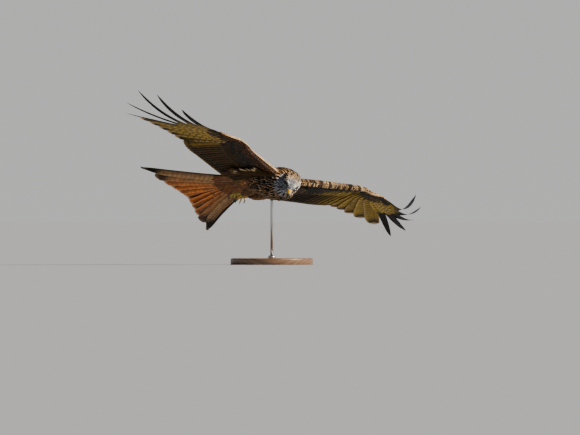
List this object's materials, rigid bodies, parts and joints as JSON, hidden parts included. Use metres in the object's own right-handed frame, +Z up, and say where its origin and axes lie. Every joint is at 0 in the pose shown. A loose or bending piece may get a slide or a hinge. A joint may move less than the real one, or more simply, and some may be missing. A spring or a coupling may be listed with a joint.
{
  "type": "red kite bird model",
  "caption": "Life-size bird of prey in banked flight with spread wings and a forked tail, on a plain rod stand.",
  "frame": {"origin": "centre of the underside of the round stand base", "axes": "+Z up; +Y away from a viewer who sees the bird as it flies towards them and to their right; +X to that viewer's right"},
  "size_m": [1.071, 1.2897, 0.6313],
  "materials": {
    "plumage_body": "matt overlapping rufous feathers with dark shaft streaks",
    "plumage_head": "matt narrow pale grey feathers with fine dark shaft streaks",
    "plumage_wing": "satin flight feathers, dark brown with a pale window at the primaries and black tips",
    "plumage_tail": "satin rufous tail feathers with dark outer corners",
    "horn": "black satin horn",
    "cere": "yellow waxy skin",
    "foot_skin": "yellow scaly skin",
    "eye": "clear glossy eye with a pale yellow iris and black pupil",
    "stand_wood": "oiled hardwood",
    "stand_steel": "brushed"
  },
  "bodies": {
    "root": {"torso": "plumage_body", "neck": "plumage_head", "head": "plumage_head", "cere": "cere", "bill_upper": "horn", "bill_lower": "horn", "eye_left": "eye", "eye_right": "eye", "wing_arm_left": "plumage_wing", "wing_hand_left": "plumage_wing", "wing_arm_right": "plumage_wing", "wing_hand_right": "plumage_wing", "tail": "plumage_tail", "leg_left": "plumage_body", "leg_right": "plumage_body", "foot_left": "foot_skin", "foot_right": "foot_skin", "claw_left_1": "horn", "claw_left_2": "horn", "claw_left_3": "horn", "claw_left_4": "horn", "claw_right_1": "horn", "claw_right_2": "horn", "claw_right_3": "horn", "claw_right_4": "horn", "stand_base": "stand_wood", "stand_collar": "stand_steel", "stand_rod": "stand_steel"}
  },
  "joints": []
}
